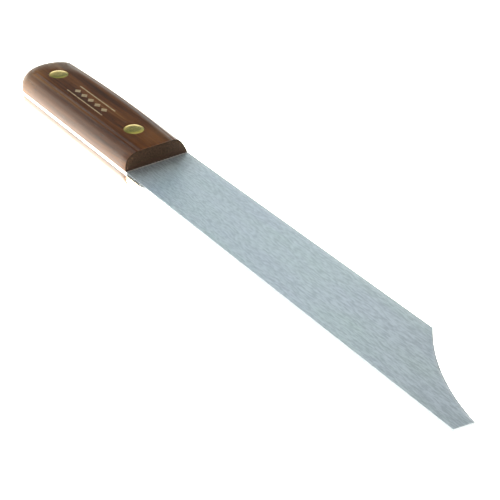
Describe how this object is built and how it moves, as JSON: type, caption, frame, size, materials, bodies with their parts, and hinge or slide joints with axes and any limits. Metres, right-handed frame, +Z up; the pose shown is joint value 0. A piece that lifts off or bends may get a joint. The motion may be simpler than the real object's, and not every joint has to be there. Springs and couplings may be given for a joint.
{
  "type": "head knife",
  "caption": "Full-tang hand knife with a long straight parallel blade, a concave hook towards a narrow blunt tip, and riveted wooden handle scales.",
  "frame": {"origin": "on the plane that the lower scale rests on, below the middle of the knife's overall length and width", "axes": "+X along the knife from the butt to the tip, +Z up out of the blade's upper face, +Y across the blade towards the edge that ends in the concave hook"},
  "size_m": [0.3058, 0.0336, 0.0195],
  "materials": {
    "blade_steel": "satin, ground lengthwise",
    "scale_wood": "walnut with a thin satin varnish",
    "rivet_brass": "satin, sanded flush"
  },
  "bodies": {
    "root": {"blade": "blade_steel", "upper_scale": "scale_wood", "lower_scale": "scale_wood", "front_rivet_tube": "rivet_brass", "front_rivet_post": "rivet_brass", "rear_rivet_tube": "rivet_brass", "rear_rivet_post": "rivet_brass"}
  },
  "joints": []
}
